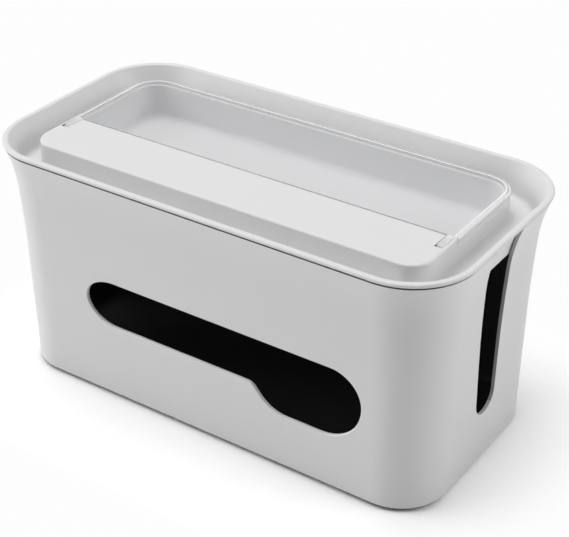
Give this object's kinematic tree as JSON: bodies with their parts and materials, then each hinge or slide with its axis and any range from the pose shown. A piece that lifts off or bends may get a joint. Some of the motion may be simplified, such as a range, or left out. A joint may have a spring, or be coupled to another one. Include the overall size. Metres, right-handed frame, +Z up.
{
  "type": "cable management box",
  "caption": "Flared rectangular tub with a viewing window and lead slots in its ends, a lift-off lid tray with a raised block, and a clear hinged cover over a storage bay.",
  "frame": {"origin": "centre of the footprint, on the plane the feet rest on", "axes": "+X along the box to its right end, +Y to the back with the window at -Y, +Z up"},
  "size_m": [0.3116, 0.1592, 0.154],
  "materials": {
    "white_shell": "fine matt moulded",
    "white_lid": "fine matt moulded",
    "clear_plastic": "clear polished",
    "pin_steel": "drawn",
    "foot_rubber": "matt"
  },
  "bodies": {
    "tub": {"box_body": "white_shell", "foot_front_left": "foot_rubber", "foot_front_right": "foot_rubber", "foot_rear_left": "foot_rubber", "foot_rear_right": "foot_rubber"},
    "lid": {"lid_tray": "white_lid", "hinge_pin_left": "pin_steel", "hinge_pin_right": "pin_steel"},
    "cover": {"clear_cover": "clear_plastic"}
  },
  "joints": [
    {"name": "lid_lift", "type": "slide", "parent": "tub", "child": "lid", "axis": [0, 0, 1], "range_m": [0, 0.05]},
    {"name": "cover_hinge", "type": "hinge", "parent": "lid", "child": "cover", "pos_m": [0, -0.0269, 0.1491], "axis": [1, 0, 0], "range_deg": [0, 105]}
  ]
}
